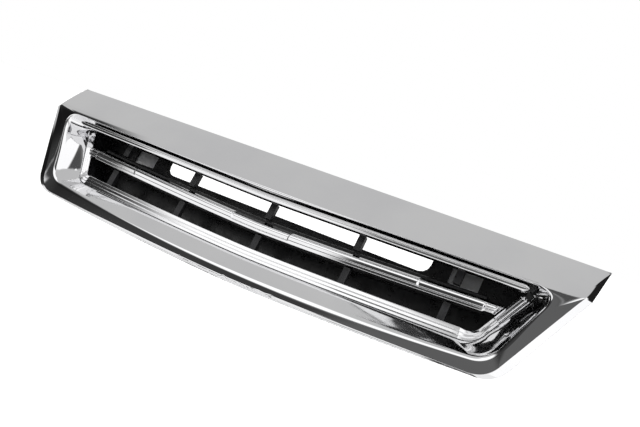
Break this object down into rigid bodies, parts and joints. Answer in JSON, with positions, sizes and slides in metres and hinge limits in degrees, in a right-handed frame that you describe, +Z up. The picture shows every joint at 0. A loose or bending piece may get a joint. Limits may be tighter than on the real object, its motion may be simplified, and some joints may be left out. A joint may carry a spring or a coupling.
{
  "type": "front grille",
  "caption": "Chrome-plated car front grille: visor, scooped surround, horizontal bars and a black ribbed insert with a back window.",
  "frame": {"origin": "on the grille's centre line, at the front of the middle rib, between the two rows of openings", "axes": "+X to the right seen from the front, -Y forward, +Z up as it stands on the car, face leaning back 20 degrees"},
  "size_m": [0.8972, 0.1757, 0.183],
  "materials": {
    "chrome_plating": "polished plating on moulded plastic",
    "black_plastic": "satin moulded black",
    "zinc_steel": "zinc-plated sheet and screws"
  },
  "bodies": {
    "root": {"Back_Panel": "black_plastic", "End_Bracket_Left": "zinc_steel", "End_Bracket_Right": "zinc_steel", "Insert_Frame": "black_plastic", "Insert_Screw_1": "zinc_steel", "Insert_Screw_2": "zinc_steel", "Insert_Screw_3": "zinc_steel", "Insert_Screw_4": "zinc_steel", "Insert_Screw_5": "zinc_steel", "Insert_Screw_6": "zinc_steel", "Lower_Hook_1": "black_plastic", "Lower_Hook_2": "black_plastic", "Lower_Hook_3": "black_plastic", "Lower_Hook_4": "black_plastic", "Lower_Ring": "chrome_plating", "Middle_Bar": "chrome_plating", "Middle_Carrier": "black_plastic", "Rib_Lower_1": "black_plastic", "Rib_Lower_2": "black_plastic", "Rib_Lower_3": "black_plastic", "Rib_Lower_4": "black_plastic", "Rib_Lower_5": "black_plastic", "Rib_Upper_1": "black_plastic", "Rib_Upper_2": "black_plastic", "Rib_Upper_3": "black_plastic", "Rib_Upper_4": "black_plastic", "Rib_Upper_5": "black_plastic", "Spring_Nut_1": "zinc_steel", "Spring_Nut_2": "zinc_steel", "Spring_Nut_3": "zinc_steel", "Spring_Nut_4": "zinc_steel", "Surround": "chrome_plating", "Top_Tab_1": "black_plastic", "Top_Tab_2": "black_plastic", "Top_Tab_3": "black_plastic", "Top_Tab_4": "black_plastic", "Upper_Bar": "chrome_plating", "Upper_Carrier": "black_plastic", "Upper_Panel": "black_plastic"}
  },
  "joints": []
}
